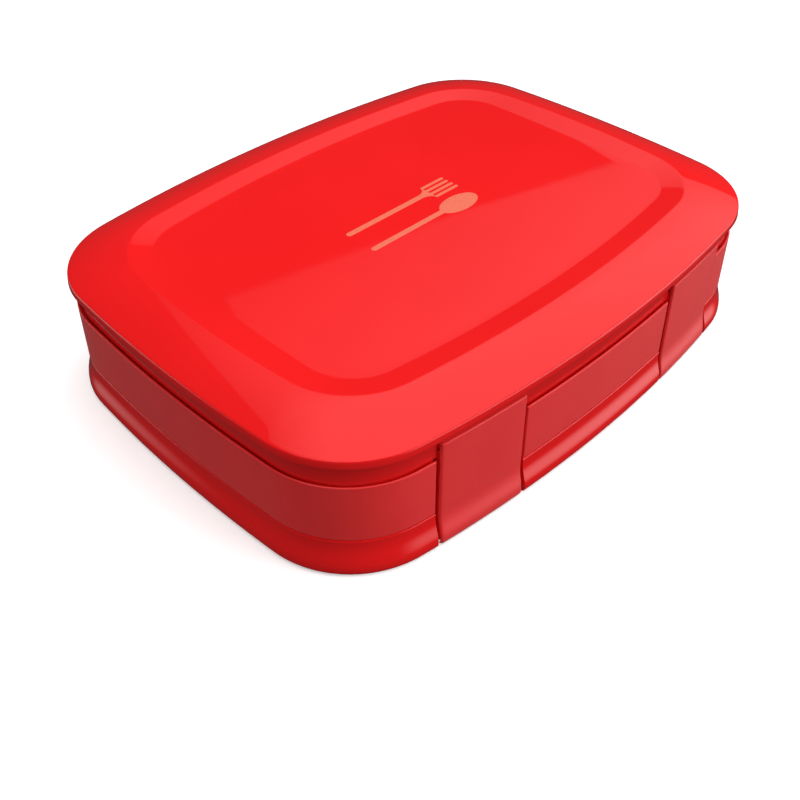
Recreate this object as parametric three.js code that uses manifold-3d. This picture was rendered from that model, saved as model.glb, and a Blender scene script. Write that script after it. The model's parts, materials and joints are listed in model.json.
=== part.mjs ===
// Flat lunch box: a tub with rubber grips, a lift-out food tray and a domed lid.
// The lid turns on two hinges at the rear and is held shut by two swinging latches.
// Millimetres. +Z up, length along X, latches on the -Y side, origin under the middle.
import * as THREE from 'three';
import { mergeVertices } from 'three/addons/utils/BufferGeometryUtils.js';
import Module from 'manifold-3d';

const wasm = await Module();
wasm.setup();

// ---------------------------------------------------------------- driving dimensions
const RIM = { halfLength: 107.6, halfWidth: 82.4, longRadius: 509, shortRadius: 568, corner: 34.4 };
const CREST = { halfLength: 90.9, halfWidth: 65.2, longRadius: 475, shortRadius: 349, corner: 27.5 };
const PANEL = { halfLength: 80.7, halfWidth: 57.4, longRadius: 438, shortRadius: 900, corner: 18.1 };
const RIM_Z = 45; // middle of the lid's outer edge
const CREST_RISE = 5.8; // crest of the lid above its edge
const PANEL_DROP = 1.1; // sunk panel below the crest
const LID_THICK = 2;
const LIP_LOW = 43; // underside of the lid's overhanging lip
const NECK_INSET = 2.4; // lid skirt under the lip, measured inwards from the rim
const NECK_THICK = 4.4;
const BAND_INSET = 1.3;
const BAND_THICK = 1.4;
const BAND_LOW = 13.5;
const TUB_TOP = 34.6; // parting line between tub and lid
const TUB_WALL = 2.6;
const TUB_FLOOR = 2.2;
const SKIRT_INSET = -0.5; // the foot of the tub bulges past the rim
const FOOT_ROUND = 2.2;
const GAP = 0.3; // working clearance between separate pieces
const CUT = 3; // how far a cutting tool reaches past the surface it opens
const LATCH = {
  x: 53.45, // distance of its middle from the YZ plane
  width: 32.3,
  slot: 0.9, // gap at each side
  face: 0.4, // inset of its outer face
  top: 40.6,
  flap: 2, // flat top that reaches back over the hinge
  pivotInset: 3.3,
  pivotZ: 38.1,
  barrel: 1.6,
};
const HINGE = { x: 42, width: 24, slot: 0.5, face: 0.4, axisY: 79.6, axisZ: 41, barrel: 2 };
const SKIN = 0.9; // rubber skin on latches and hinge straps
const CORE_DEPTH = 3; // inner face of latch and strap cores, inwards from the rim
const PIN_RADIUS = 0.8;
const LATCH_LUG = 18.4;
const HINGE_LUG = 7.4;
const CATCH = { z: 20, width: 20, radius: 0.8 };
const CELL_INSET = 8.6;
const DIVIDER = 5;
const CELL_ROUND = 10;
const TRAY_WALL = 1.5;
const SHORT_STEPS = 3; // outline segments per quarter, by kind of arc
const CORNER_STEPS = 11;
const LONG_STEPS = 4;
const UP = new THREE.Vector3(0, 0, 1);

const COLOURS = {
  gloss: { color: '#e3141b', roughness: 0.18, metalness: 0 },
  rubber: { color: '#b8282c', roughness: 0.6, metalness: 0 },
  tray: { color: '#e4e6e6', roughness: 0.4, metalness: 0 },
  liner: { color: '#d9dbdc', roughness: 0.35, metalness: 0 },
  seal: { color: '#f3f3f1', roughness: 0.7, metalness: 0 },
  steel: { color: '#b9bcc0', roughness: 0.3, metalness: 1 },
};

// ---------------------------------------------------------------- solids
/** Manifold body from any closed three.js geometry. */
function solid(geometry) {
  const bare = new THREE.BufferGeometry();
  const source = geometry.index ? geometry.toNonIndexed() : geometry;
  bare.setAttribute('position', source.getAttribute('position'));
  const merged = mergeVertices(bare, 1e-4);
  const vertProperties = new Float32Array(merged.getAttribute('position').array);
  const triVerts = new Uint32Array(merged.index.array);
  return new wasm.Manifold(new wasm.Mesh({ numProp: 3, vertProperties, triVerts }));
}

/** Named mesh of one finished body. */
function piece(name, body, look) {
  const data = body.getMesh();
  const geometry = new THREE.BufferGeometry();
  geometry.setAttribute('position', new THREE.BufferAttribute(new Float32Array(data.vertProperties), 3));
  geometry.setIndex(new THREE.BufferAttribute(new Uint32Array(data.triVerts), 1));
  geometry.computeVertexNormals();
  const mesh = new THREE.Mesh(geometry, new THREE.MeshStandardMaterial(COLOURS[look]));
  mesh.name = name;
  return mesh;
}

/** Skin through rings of equal length: capped at both ends, or joined end to end when looped. */
function loft(rings, looped = false) {
  const count = rings[0].length;
  const points = rings.flat();
  const faces = [];
  const spans = looped ? rings.length : rings.length - 1;
  for (let r = 0; r < spans; r++) {
    const low = r * count;
    const high = ((r + 1) % rings.length) * count;
    for (let i = 0; i < count; i++) {
      const j = (i + 1) % count;
      faces.push(low + i, low + j, high + j, low + i, high + j, high + i);
    }
  }
  if (!looped) {
    for (const end of [0, rings.length - 1]) {
      const centre = points.push(middle(rings[end])) - 1;
      for (let i = 0; i < count; i++) {
        const here = end * count + i;
        const next = end * count + ((i + 1) % count);
        faces.push(centre, ...(end === 0 ? [next, here] : [here, next]));
      }
    }
  }
  const geometry = new THREE.BufferGeometry().setFromPoints(points);
  geometry.setIndex(faces);
  return solid(geometry);
}

function middle(ring) {
  const sum = ring.reduce((total, point) => total.add(point), new THREE.Vector3());
  return sum.divideScalar(ring.length);
}

function box(low, high) {
  const size = new THREE.Vector3().subVectors(high, low);
  const geometry = new THREE.BoxGeometry(size.x, size.y, size.z);
  geometry.translate((low.x + high.x) / 2, (low.y + high.y) / 2, (low.z + high.z) / 2);
  return geometry;
}

function join(bodies) {
  return bodies.reduce((total, body) => total.add(body));
}

function remove(body, tools) {
  return tools.reduce((left, tool) => left.subtract(tool), body);
}

// ---------------------------------------------------------------- plan outlines
function arc(centre, radius, from, to, steps) {
  return Array.from({ length: steps }, (_, i) => {
    const angle = from + ((to - from) * i) / steps;
    return new THREE.Vector2(centre.x + radius * Math.cos(angle), centre.y + radius * Math.sin(angle));
  });
}

/** Plan outline: bowed long and short sides with tangent corner arcs, moved inwards by inset. */
function outline(plan, inset = 0) {
  const halfWidth = plan.halfWidth - inset;
  const halfLength = plan.halfLength - inset;
  const longRadius = plan.longRadius - inset;
  const shortRadius = plan.shortRadius - inset;
  const longCentre = new THREE.Vector2(0, halfWidth - longRadius);
  const shortCentre = new THREE.Vector2(halfLength - shortRadius, 0);
  const fromLong = plan.longRadius - plan.corner;
  const fromShort = plan.shortRadius - plan.corner;
  const span = longCentre.distanceTo(shortCentre);
  const along = (span ** 2 + fromLong ** 2 - fromShort ** 2) / (2 * span);
  const across = Math.sqrt(fromLong ** 2 - along ** 2);
  const towards = shortCentre.clone().sub(longCentre).divideScalar(span);
  const corner = new THREE.Vector2(
    longCentre.x + towards.x * along + towards.y * across,
    longCentre.y + towards.y * along - towards.x * across,
  );
  const shortEnd = corner.clone().sub(shortCentre).angle();
  const longStart = corner.clone().sub(longCentre).angle();
  const quarter = [
    ...arc(shortCentre, shortRadius, 0, shortEnd, SHORT_STEPS),
    ...arc(corner, plan.corner - inset, shortEnd, longStart, CORNER_STEPS),
    ...arc(longCentre, longRadius, longStart, Math.PI / 2, LONG_STEPS),
    new THREE.Vector2(0, halfWidth),
  ];
  const mirrored = quarter.map((point) => new THREE.Vector2(-point.x, point.y)).reverse();
  const half = [...quarter, ...mirrored.slice(1)];
  const lower = half.map((point) => new THREE.Vector2(point.x, -point.y)).reverse();
  return [...half, ...lower.slice(1, -1)];
}

function atHeight(points, z) {
  return points.map((point) => new THREE.Vector3(point.x, point.y, z));
}

/** Rings that follow the rim outline along a profile of [inset, z] pairs. */
function rimRings(profile) {
  return profile.map(([inset, z]) => atHeight(outline(RIM, inset), z));
}

/** Ring between two outlines, a fraction of the way from the first to the second. */
function between(first, second, fraction, z) {
  return first.map((point, i) => {
    const mixed = point.clone().lerp(second[i], fraction);
    return new THREE.Vector3(mixed.x, mixed.y, z);
  });
}

// ---------------------------------------------------------------- places around the wall
/** Frame on the rim outline: x along the wall, y outwards, z up. */
function station(x, side, turned) {
  const lean = Math.asin(x / RIM.longRadius);
  const reach = RIM.halfWidth - RIM.longRadius * (1 - Math.cos(lean));
  const turn = turned ? lean : 0;
  const outward = new THREE.Vector3(Math.sin(turn), side * Math.cos(turn), 0);
  const along = new THREE.Vector3().crossVectors(outward, UP);
  return new THREE.Matrix4().makeBasis(along, outward, UP).setPosition(x, side * reach, 0);
}

function blockAt(place, from, to, out, low, high) {
  const geometry = box(new THREE.Vector3(from, out[0], low), new THREE.Vector3(to, out[1], high));
  return solid(geometry.applyMatrix4(place));
}

/** Round bar along the wall, centred at distance out from the rim and height z. */
function rodAt(place, radius, out, z, from, to) {
  const geometry = new THREE.CylinderGeometry(radius, radius, to - from, 20);
  geometry.rotateZ(Math.PI / 2);
  geometry.translate((from + to) / 2, out, z);
  return solid(geometry.applyMatrix4(place));
}

/** Length of wall of a given width, shaped by a looped [inset, z] profile. */
function wallPiece(place, width, profile) {
  const window = blockAt(place, -width / 2, width / 2, [-20, 20], -CUT, RIM_Z + CUT);
  return loft(rimRings(profile), true).intersect(window);
}

/** Opening that follows the wall, from outside it down to a given inset. */
function pocket(place, width, depth, low, high) {
  return wallPiece(place, width, [[depth, low], [-CUT, low], [-CUT, high], [depth, high]]);
}

/** Inset of the flared foot at a height, starting from the inset above it. */
function flare(top, z) {
  const amount = 1 - THREE.MathUtils.smoothstep(z, 3.5, BAND_LOW);
  return top + (SKIRT_INSET - top) * amount;
}

/** Flared outside of the foot from the floor upwards, ending at a height. */
function footProfile(top, firstAngle) {
  const points = [];
  for (let angle = firstAngle; angle >= 0; angle -= 22.5) {
    const radians = THREE.MathUtils.degToRad(angle);
    const inset = SKIRT_INSET + FOOT_ROUND * (1 - Math.cos(radians));
    points.push([inset, FOOT_ROUND * (1 - Math.sin(radians))]);
  }
  for (const z of [3.5, 5, 6.5, 8, 9.5, 11, 12.2]) {
    points.push([flare(top, z), z]);
  }
  return points;
}

const latchPlaces = { left: station(-LATCH.x, -1, true), right: station(LATCH.x, -1, true) };
const hingePlaces = { left: station(-HINGE.x, 1, false), right: station(HINGE.x, 1, false) };
const hingeOut = HINGE.axisY - new THREE.Vector3().setFromMatrixPosition(hingePlaces.left).y;
const latchSlot = LATCH.width + 2 * LATCH.slot;
const hingeSlot = HINGE.width + 2 * HINGE.slot;

// ---------------------------------------------------------------- tub and grips
function tubPockets(depth) {
  const latches = Object.values(latchPlaces).map((place) => pocket(place, latchSlot, depth, -CUT, RIM_Z));
  const hinges = Object.values(hingePlaces).map((place) => pocket(place, hingeSlot, depth, -CUT, RIM_Z));
  return [...latches, ...hinges];
}

function tub() {
  const behindBand = BAND_INSET + BAND_THICK + GAP;
  const inside = behindBand + TUB_WALL;
  const rings = rimRings([
    ...footProfile(BAND_INSET, 90),
    [BAND_INSET, BAND_LOW],
    [behindBand, BAND_LOW],
    [behindBand, TUB_TOP],
    [behindBand + 1.4, TUB_TOP],
    [behindBand + 1.4, TUB_TOP - 1.4],
    [inside, TUB_TOP - 1.4],
    [inside, TUB_FLOOR + 3],
    [inside + 1, TUB_FLOOR + 1],
    [inside + 3, TUB_FLOOR],
  ]);
  const shell = remove(loft(rings), tubPockets(CORE_DEPTH + 1.2));
  const width = CATCH.width / 2;
  const ledges = Object.values(latchPlaces).map((place) =>
    rodAt(place, CATCH.radius, -(CORE_DEPTH + 1.7), CATCH.z + 1.9, -width, width));
  return join([shell, ...ledges]);
}

function bands() {
  const outer = BAND_INSET;
  const inner = BAND_INSET + BAND_THICK;
  const low = BAND_LOW + GAP;
  const whole = loft(rimRings([
    [inner, low],
    [outer + 0.3, low],
    [outer, low + 0.3],
    [outer, TUB_TOP - 0.4],
    [outer + 0.4, TUB_TOP],
    [inner, TUB_TOP],
  ]), true);
  const open = remove(whole, tubPockets(inner + 1));
  const far = RIM.halfLength + CUT;
  const split = LATCH.x;
  const part = (x0, x1, y0, y1) =>
    open.intersect(solid(box(new THREE.Vector3(x0, y0, 0), new THREE.Vector3(x1, y1, RIM_Z))));
  return {
    left: part(-far, -split, -far, far),
    right: part(split, far, -far, far),
    front: part(-split, split, -far, 0),
    rear: part(-split, split, 0, far),
  };
}

// ---------------------------------------------------------------- tray
function clip(points, normal, limit) {
  const kept = [];
  points.forEach((point, i) => {
    const next = points[(i + 1) % points.length];
    const here = normal.dot(point) - limit;
    const there = normal.dot(next) - limit;
    if (here <= 0) kept.push(point);
    if (here * there < 0) kept.push(point.clone().lerp(next, here / (here - there)));
  });
  return kept;
}

function edgeNormal(from, to) {
  return new THREE.Vector2(to.y - from.y, from.x - to.x).normalize();
}

/** Convex outline with its corners rounded: shrunk by the radius, then grown back. */
function roundCorners(points, radius) {
  let core = points;
  points.forEach((point, i) => {
    const normal = edgeNormal(point, points[(i + 1) % points.length]);
    core = clip(core, normal, normal.dot(point) - radius);
  });
  core = core.filter((point, i) => point.distanceTo(core[(i + 1) % core.length]) > 0.05);
  return core.flatMap((point, i) => {
    const before = edgeNormal(core.at(i - 1), point).angle();
    const after = edgeNormal(point, core[(i + 1) % core.length]).angle();
    const turn = THREE.MathUtils.euclideanModulo(after - before, 2 * Math.PI);
    const steps = Math.ceil(turn / 0.2);
    return arc(point, radius, before, before + turn, steps);
  });
}

/** Outline moved inwards along its corner bisectors. */
function shrink(points, distance) {
  return points.map((point, i) => {
    const before = edgeNormal(points.at(i - 1), point);
    const after = edgeNormal(point, points[(i + 1) % points.length]);
    const bisector = before.add(after).normalize();
    return point.clone().addScaledVector(bisector, -distance);
  });
}

/** Compartment outlines at the top of the tray, split by one long and three short dividers. */
function cells() {
  const half = DIVIDER / 2;
  const left = new THREE.Vector2(-1, 0);
  const right = new THREE.Vector2(1, 0);
  const front = new THREE.Vector2(0, -1);
  const rear = new THREE.Vector2(0, 1);
  const whole = outline(RIM, CELL_INSET);
  const frontRow = clip(whole, rear, -4 - half);
  const rearRow = clip(whole, front, 4 - half);
  const main = clip(frontRow, right, 20 - half);
  const side = clip(frontRow, left, -20 - half);
  const rearLeft = clip(rearRow, right, -22 - half);
  const rearRight = clip(rearRow, left, -22 - half);
  const dip = clip(clip(rearRow, right, 22 - half), left, 22 - half);
  return [main, side, rearLeft, dip, rearRight].map((points) => roundCorners(points, CELL_ROUND));
}

function tray() {
  const rest = TUB_TOP - 1.4 + GAP;
  const flange = BAND_INSET + BAND_THICK + 1.4 + 2 * GAP;
  const deck = loft(rimRings([
    [flange, rest],
    [flange, TUB_TOP - 0.3],
    [flange + 0.3, TUB_TOP],
  ]));
  const low = TUB_FLOOR + 1;
  const cups = cells().map((top) => loft([
    atHeight(shrink(top, 4 - TRAY_WALL), low),
    atHeight(shrink(top, 2 - TRAY_WALL), low + 3),
    atHeight(shrink(top, -TRAY_WALL), rest + 0.4),
  ]));
  const hollows = cells().map((top) => loft([
    atHeight(shrink(top, 6), low + TRAY_WALL),
    atHeight(shrink(top, 3.4), low + TRAY_WALL + 0.9),
    atHeight(shrink(top, 2.2), low + TRAY_WALL + 3.4),
    atHeight(shrink(top, 0.3), TUB_TOP - 0.3),
    atHeight(shrink(top, -0.3), TUB_TOP + 0.3),
  ]));
  return remove(join([deck, ...cups]), hollows);
}

// ---------------------------------------------------------------- lid
/** Height of the lid's border, from its outer edge (0) to the crest (1). */
function borderZ(fraction) {
  const fall = 1 - fraction;
  const low = RIM_Z + 0.7;
  return low + (RIM_Z + CREST_RISE - low) * (1 - 0.45 * fall - 0.55 * fall ** 2);
}

function lidTopRings(drop) {
  const crest = outline(CREST);
  const panel = outline(PANEL);
  const edge = outline(RIM, 0.6);
  const crestZ = RIM_Z + CREST_RISE;
  const fractions = drop ? [0.5, 0.8, 1] : [0.25, 0.5, 0.75, 0.95];
  const border = fractions.map((t) => between(edge, crest, t, borderZ(t) - drop));
  const slope = [
    between(crest, panel, 0.06, crestZ - 0.03 - drop),
    between(crest, panel, 0.94, crestZ - PANEL_DROP + 0.03 - drop),
    between(crest, panel, 1.06, crestZ - PANEL_DROP - drop),
  ];
  const domeZ = crestZ - PANEL_DROP + 0.2 - drop;
  const dome = atHeight(panel.map((point) => point.clone().multiplyScalar(0.5)), domeZ);
  return [...border, ...slope, dome];
}

function lidShell() {
  const bottom = TUB_TOP + GAP + 0.05;
  const inside = NECK_INSET + NECK_THICK;
  const rings = [
    ...lidTopRings(LID_THICK).reverse(),
    ...rimRings([
      [inside, RIM_Z - 1.4],
      [inside, bottom],
      [NECK_INSET, bottom],
      [NECK_INSET, LIP_LOW],
      [0.4, LIP_LOW],
      [0, LIP_LOW + 0.4],
      [0, RIM_Z],
      [0.15, RIM_Z + 0.4],
      [0.6, RIM_Z + 0.7],
    ]),
    ...lidTopRings(0),
  ];
  const notched = remove(loft(rings), [
    ...Object.values(latchPlaces).map((place) => pocket(place, latchSlot, 6, bottom - CUT, LIP_LOW - 0.7)),
    ...Object.values(hingePlaces).map((place) => pocket(place, hingeSlot, 4.8, bottom - CUT, 43.8)),
  ]);
  const lugs = [
    ...Object.values(latchPlaces).map((place) =>
      lug(place, LATCH_LUG, LATCH.barrel, -LATCH.pivotInset, LATCH.pivotZ)),
    ...Object.values(hingePlaces).map((place) => lug(place, HINGE_LUG, HINGE.barrel, hingeOut, HINGE.axisZ)),
  ];
  return remove(join([notched, ...lugs]), pinHoles());
}

/** Ear on the lid's neck that carries a pin. */
function lug(place, width, radius, out, z) {
  const web = blockAt(place, -width / 2, width / 2, [-6.4, out], z - radius, z + radius * 0.3);
  return join([web, rodAt(place, radius, out, z, -width / 2, width / 2)]);
}

function pinHoles() {
  const radius = PIN_RADIUS + GAP;
  const latches = Object.values(latchPlaces).map((place) =>
    rodAt(place, radius, -LATCH.pivotInset, LATCH.pivotZ, -LATCH.width / 2 - 1, LATCH.width / 2 + 1));
  const hinges = Object.values(hingePlaces).map((place) =>
    rodAt(place, radius, hingeOut, HINGE.axisZ, -HINGE.width / 2 - 1, HINGE.width / 2 + 1));
  return [...latches, ...hinges];
}

function innerPanel() {
  const edge = NECK_INSET + NECK_THICK + GAP;
  const low = TUB_TOP + 2 * GAP + 1.5;
  return loft(rimRings([
    [edge, low],
    [edge, low + 3.6],
    [edge + 1.5, low + 3.6],
    [edge + 1.5, low + 1.6],
  ]));
}

function seal() {
  const edge = NECK_INSET + NECK_THICK + GAP;
  const low = TUB_TOP + GAP;
  const plate = loft(rimRings([
    [edge + 0.6, low],
    [edge + 0.2, low + 0.4],
    [edge + 0.2, low + 1.5],
  ]));
  const windows = cells().map((points) => {
    const open = shrink(points, -0.5);
    return loft([atHeight(open, low - 1), atHeight(open, low + 3)]);
  });
  return remove(plate, windows);
}

// ---------------------------------------------------------------- latches and hinges
/** Cross-section of a layer set behind the flared outer face, from a depth to a deeper one. */
function layerProfile(face, from, to, low, high, bevel) {
  const outer = footProfile(face, 45).filter(([, z]) => z >= low);
  outer.push([face, BAND_LOW], [face, high - bevel]);
  const front = outer.map(([inset, z]) => [inset + from, z]);
  const back = outer.map(([inset, z]) => [inset + to, z]).reverse();
  back[0][1] = high;
  return [...front, [face + from + bevel, high], ...back];
}

function rubberSkin(place, width, top) {
  return wallPiece(place, width, layerProfile(LATCH.face, 0, SKIN, 0, top, 0.75));
}

/** Skin whose flat top reaches back over the hinge. */
function latchGrip(place) {
  const skin = rubberSkin(place, LATCH.width, LATCH.top);
  const inside = LATCH.face + SKIN - 0.1;
  const low = LATCH.top - 0.6;
  const end = LATCH.face + LATCH.flap;
  const profile = [[inside, low], [inside, LATCH.top], [end, LATCH.top], [end, low]];
  const flap = wallPiece(place, LATCH.width, profile);
  return join([skin, flap]);
}

function core(place, width, top) {
  const depth = CORE_DEPTH - LATCH.face;
  return wallPiece(place, width, layerProfile(LATCH.face, SKIN + 0.25, depth, 2, top, 0.2));
}

/** Core with two knuckles on a pin, open in the middle for the lid's lug. */
function hingedCore(place, width, lugWidth, radius, out, z, top) {
  const gapHalf = lugWidth / 2 + GAP;
  const barrels = rodAt(place, radius, out, z, -width / 2, width / 2);
  const reach = radius + GAP + 0.05;
  const opening = blockAt(place, -gapHalf, gapHalf, [-9, 4], z - reach, z + 6);
  return remove(join([core(place, width, top), barrels]), [opening, ...pinHoles()]);
}

function latchCore(place) {
  const out = -LATCH.pivotInset;
  const top = LATCH.pivotZ + LATCH.barrel;
  const body = hingedCore(place, LATCH.width, LATCH_LUG, LATCH.barrel, out, LATCH.pivotZ, top);
  const half = CATCH.width / 2;
  return join([body, rodAt(place, CATCH.radius, -(CORE_DEPTH - 0.2), CATCH.z, -half, half)]);
}

/** Wire that a latch or strap turns on, a little shorter than it is wide. */
function pin(place, width, out, z) {
  const half = width / 2 - 0.5;
  return rodAt(place, PIN_RADIUS, out, z, -half, half);
}

function strapCore(place) {
  return hingedCore(place, HINGE.width, HINGE_LUG, HINGE.barrel, hingeOut, HINGE.axisZ, HINGE.axisZ);
}

// ---------------------------------------------------------------- assembly
const lunchBox = new THREE.Group();
lunchBox.name = 'lunch_box';
lunchBox.add(piece('base_shell', tub(), 'gloss'));
for (const [side, body] of Object.entries(bands())) {
  lunchBox.add(piece(`grip_band_${side}`, body, 'rubber'));
}
lunchBox.add(piece('food_tray', tray(), 'tray'));
lunchBox.add(piece('lid_shell', lidShell(), 'gloss'));
lunchBox.add(piece('lid_inner_panel', innerPanel(), 'liner'));
lunchBox.add(piece('lid_seal', seal(), 'seal'));
for (const side of ['left', 'right']) {
  const front = latchPlaces[side];
  const rear = hingePlaces[side];
  lunchBox.add(
    piece(`latch_${side}_core`, latchCore(front), 'gloss'),
    piece(`latch_${side}_grip`, latchGrip(front), 'rubber'),
    piece(`latch_${side}_pin`, pin(front, LATCH.width, -LATCH.pivotInset, LATCH.pivotZ), 'steel'),
    piece(`hinge_${side}_strap`, strapCore(rear), 'gloss'),
    piece(`hinge_${side}_grip`, rubberSkin(rear, HINGE.width, HINGE.axisZ - HINGE.barrel - 0.4), 'rubber'),
    piece(`hinge_${side}_pin`, pin(rear, HINGE.width, hingeOut, HINGE.axisZ), 'steel'),
  );
}
export default lunchBox;
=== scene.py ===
import json
import math

import bpy
import numpy as np
from mathutils import Matrix, Vector


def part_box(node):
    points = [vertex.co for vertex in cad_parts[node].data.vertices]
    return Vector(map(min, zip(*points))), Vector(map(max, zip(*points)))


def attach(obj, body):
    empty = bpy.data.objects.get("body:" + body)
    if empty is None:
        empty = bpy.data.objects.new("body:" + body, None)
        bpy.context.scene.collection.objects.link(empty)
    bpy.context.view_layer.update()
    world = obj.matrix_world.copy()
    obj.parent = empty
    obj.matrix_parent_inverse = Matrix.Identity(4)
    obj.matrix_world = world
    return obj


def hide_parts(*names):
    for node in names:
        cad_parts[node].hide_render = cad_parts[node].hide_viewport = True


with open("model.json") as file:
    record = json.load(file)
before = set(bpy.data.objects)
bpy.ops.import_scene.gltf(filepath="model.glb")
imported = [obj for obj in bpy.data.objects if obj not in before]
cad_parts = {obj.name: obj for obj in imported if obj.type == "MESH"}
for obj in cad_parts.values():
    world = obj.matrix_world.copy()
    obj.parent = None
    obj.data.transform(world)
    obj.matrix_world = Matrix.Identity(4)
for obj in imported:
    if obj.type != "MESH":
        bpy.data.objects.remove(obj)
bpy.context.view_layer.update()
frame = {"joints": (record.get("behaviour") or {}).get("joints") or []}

# ------------------------------------------------------------------ sizes, in millimetres
MM = 0.001


def span(node):
    """Lowest and highest corner of a CAD node, in millimetres."""
    low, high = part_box(node)
    return np.array(low) / MM, np.array(high) / MM


LID_LOW, LID_HIGH = span("lid_shell")
TUB_HIGH = span("base_shell")[1]
BAND_LOW, BAND_HIGH = span("grip_band_front")
LATCH_LOW, LATCH_HIGH = span("latch_right_grip")
HINGE_LOW, HINGE_HIGH = span("hinge_right_grip")
JOINTS = {joint["name"]: joint for joint in frame["joints"]}

# Plan outlines: half length, half width, radius of long sides, of short sides, of corners.
RIM = (LID_HIGH[0], LID_HIGH[1], 509.0, 568.0, 34.4)
CREST = (90.9, 65.2, 475.0, 349.0, 27.5)
PANEL = (80.7, 57.4, 438.0, 900.0, 18.1)
FINE = (16, 44, 22)  # outline segments per quarter: short side, corner, long side
CREST_Z = LID_HIGH[2]
RIM_Z = 45.0
PANEL_Z = CREST_Z - 1.1
PANEL_CROWN = 0.25
CREASE = 0.985  # where the border's slope starts to turn over the crest

# Lip, neck and wall of the lid.
LIP_LOW = 42.8
LIP_ROLL = 0.5
LIP_LEAN = 0.12
LIP_SHOULDER = LIP_LOW + 1.25
LIP_TOP = RIM_Z + 0.7
NECK_INSET = 2.4
LID_WALL = 4.4
LID_SKIN = 2.0

# Tub wall and the grip band in it.
BAND_INSET = 1.3
BAND_DEPTH = 1.4
BAND_GAP = 0.3
BAND_LIP = 0.5
TUB_TOP = TUB_HIGH[2]
TUB_WALL = 2.6
TUB_FLOOR = 2.2
TUB_FILLET = 3.5
SLOT_DEPTH = 4.2
SKIRT_TOP = BAND_LOW[2] - 0.3
SKIRT_LOW = 2.6
SKIRT_INSET = RIM[0] - TUB_HIGH[0]
FOOT_ROUND = 2.2

# Latches and hinge straps: distances along the wall, inset of the face, place and size of the pin.
LATCH_X = 53.45
LATCH_HALF = 16.15
LATCH_SLOT = 1.3
LATCH_FACE = 0.75
LATCH_FLAP = 2.0
FLAP_RISE = 0.5
FLAP_THICK = 0.6
LATCH_OUT = -3.3
LATCH_KNUCKLE = 1.6
LATCH_LUG = 9.2
HINGE_X = 42.0
HINGE_HALF = 12.0
HINGE_SLOT = 0.5
HINGE_KNUCKLE = 2.0
HINGE_LUG = 3.7
SKIN = 0.9
SKIN_GAP = 0.25
CORE_DEPTH = 2.6
CORE_LOW = 2.0
PIN_RADIUS = 0.8
HOLE_RADIUS = 1.1
PIN_END = 0.5
CATCH_HALF = 10.0
CATCH_RADIUS = 0.8
BEAD = (-2.8, 20.0)  # place outwards and height of the bead on a latch
LEDGE = (-4.7, 21.9)  # the same for the ledge above it in the tub

# Tray compartments: edge of the whole group, dividers, corners, and the lines between the cells.
CELL_INSET = 8.6
DIVIDER = 5.0
CELL_ROUND = 10.0
CELL_FLOOR = 1.5
ROW_SPLIT = -4.0
FRONT_SPLIT = 20.0
DIP_HALF = 22.0


# ------------------------------------------------------------------ mesh building
def new_object(name, vertices, faces):
    mesh = bpy.data.meshes.new(name)
    mesh.from_pydata((np.asarray(vertices, float) * MM).tolist(), [], faces)
    mesh.update()
    piece = bpy.data.objects.new(name, mesh)
    bpy.context.scene.collection.objects.link(piece)
    return piece


def loft(name, rings, looped=False):
    """Closed skin through rings of equal length, capped in the middle unless it is looped."""
    rings = [np.asarray(ring, float) for ring in rings]
    count = len(rings[0])
    vertices = np.concatenate(rings).tolist()
    faces = []
    for r in range(len(rings) if looped else len(rings) - 1):
        low, high = r * count, (r + 1) % len(rings) * count
        for i in range(count):
            j = (i + 1) % count
            faces.append((low + i, low + j, high + j, high + i))
    if not looped:
        for first, ring in ((0, rings[0]), ((len(rings) - 1) * count, rings[-1])):
            vertices.append(ring.mean(0).tolist())
            for i in range(count):
                j = (i + 1) % count
                rim = (first + j, first + i) if first == 0 else (first + i, first + j)
                faces.append((len(vertices) - 1, *rim))
    return new_object(name, vertices, faces)


def shell_of_grids(name, front, back):
    """Closed plate between two grids of points of the same shape."""
    rows, columns = front.shape[:2]
    vertices = np.concatenate([front.reshape(-1, 3), back.reshape(-1, 3)])
    offset = rows * columns

    def at(i, j):
        return i * columns + j

    faces = []
    for i in range(rows - 1):
        for j in range(columns - 1):
            quad = (at(i, j), at(i + 1, j), at(i + 1, j + 1), at(i, j + 1))
            faces.append(quad)
            faces.append(tuple(offset + k for k in reversed(quad)))
    border = [at(i, 0) for i in range(rows)]
    border += [at(rows - 1, j) for j in range(1, columns)]
    border += [at(i, columns - 1) for i in range(rows - 2, -1, -1)]
    border += [at(0, j) for j in range(columns - 2, 0, -1)]
    for here, there in zip(border, border[1:] + border[:1]):
        faces.append((there, here, offset + here, offset + there))
    return new_object(name, vertices, faces)


def combine(target, tool, operation):
    """Boolean of two solids; the tool is used up."""
    modifier = target.modifiers.new(operation, "BOOLEAN")
    modifier.operation = operation
    modifier.solver = "EXACT"
    modifier.object = tool
    result = target.evaluated_get(bpy.context.evaluated_depsgraph_get())
    mesh = bpy.data.meshes.new_from_object(result)
    target.modifiers.clear()
    target.data = mesh
    bpy.data.objects.remove(tool)
    return target


def cut(target, tools):
    for tool in tools:
        combine(target, tool, "DIFFERENCE")
    return target


def weld(target, tools):
    for tool in tools:
        combine(target, tool, "UNION")
    return target


def smooth(piece, angle=32):
    piece.data.shade_smooth()
    piece.data.set_sharp_from_angle(angle=math.radians(angle))


def finish_piece(piece, body, material, nodes):
    smooth(piece)
    piece.data.materials.clear()
    piece.data.materials.append(material)
    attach(piece, body)
    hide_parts(*nodes)
    return piece


# ------------------------------------------------------------------ plan outlines
def arc(centre, radius, start, end, steps):
    """Points and outward normals on an arc, without its last point."""
    angles = np.linspace(start, end, steps, endpoint=False)
    normals = np.stack([np.cos(angles), np.sin(angles)], 1)
    return np.array(centre) + radius * normals, normals


def heading(vector):
    return math.atan2(vector[1], vector[0])


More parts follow.
